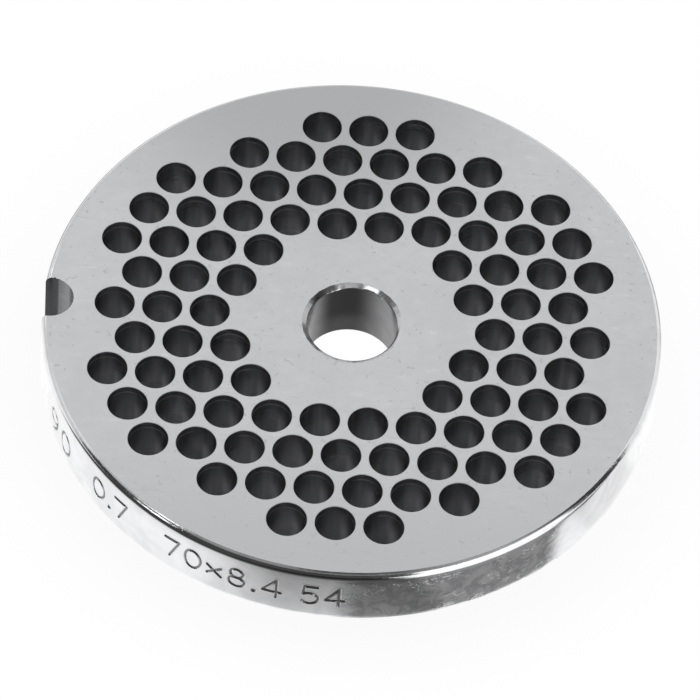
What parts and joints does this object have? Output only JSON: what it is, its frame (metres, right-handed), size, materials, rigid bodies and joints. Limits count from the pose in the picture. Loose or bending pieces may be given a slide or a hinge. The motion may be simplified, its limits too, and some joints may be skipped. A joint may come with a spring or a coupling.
{
  "type": "meat grinder plate",
  "caption": "Round perforated plate of stainless steel for a meat grinder, with a centre bore and a key notch in its rim.",
  "frame": {"origin": "centre of the bore in the lower face, which the plate lies on", "axes": "+Z along the bore axis through the plate's thickness; the rows of holes run along X; the key notch is at -X"},
  "size_m": [0.0699, 0.07, 0.0084],
  "materials": {
    "ground_steel": "faces ground to a fine satin, rim and bore chamfer polished, holes as drilled"
  },
  "bodies": {
    "root": {"grinder_plate": "ground_steel"}
  },
  "joints": []
}
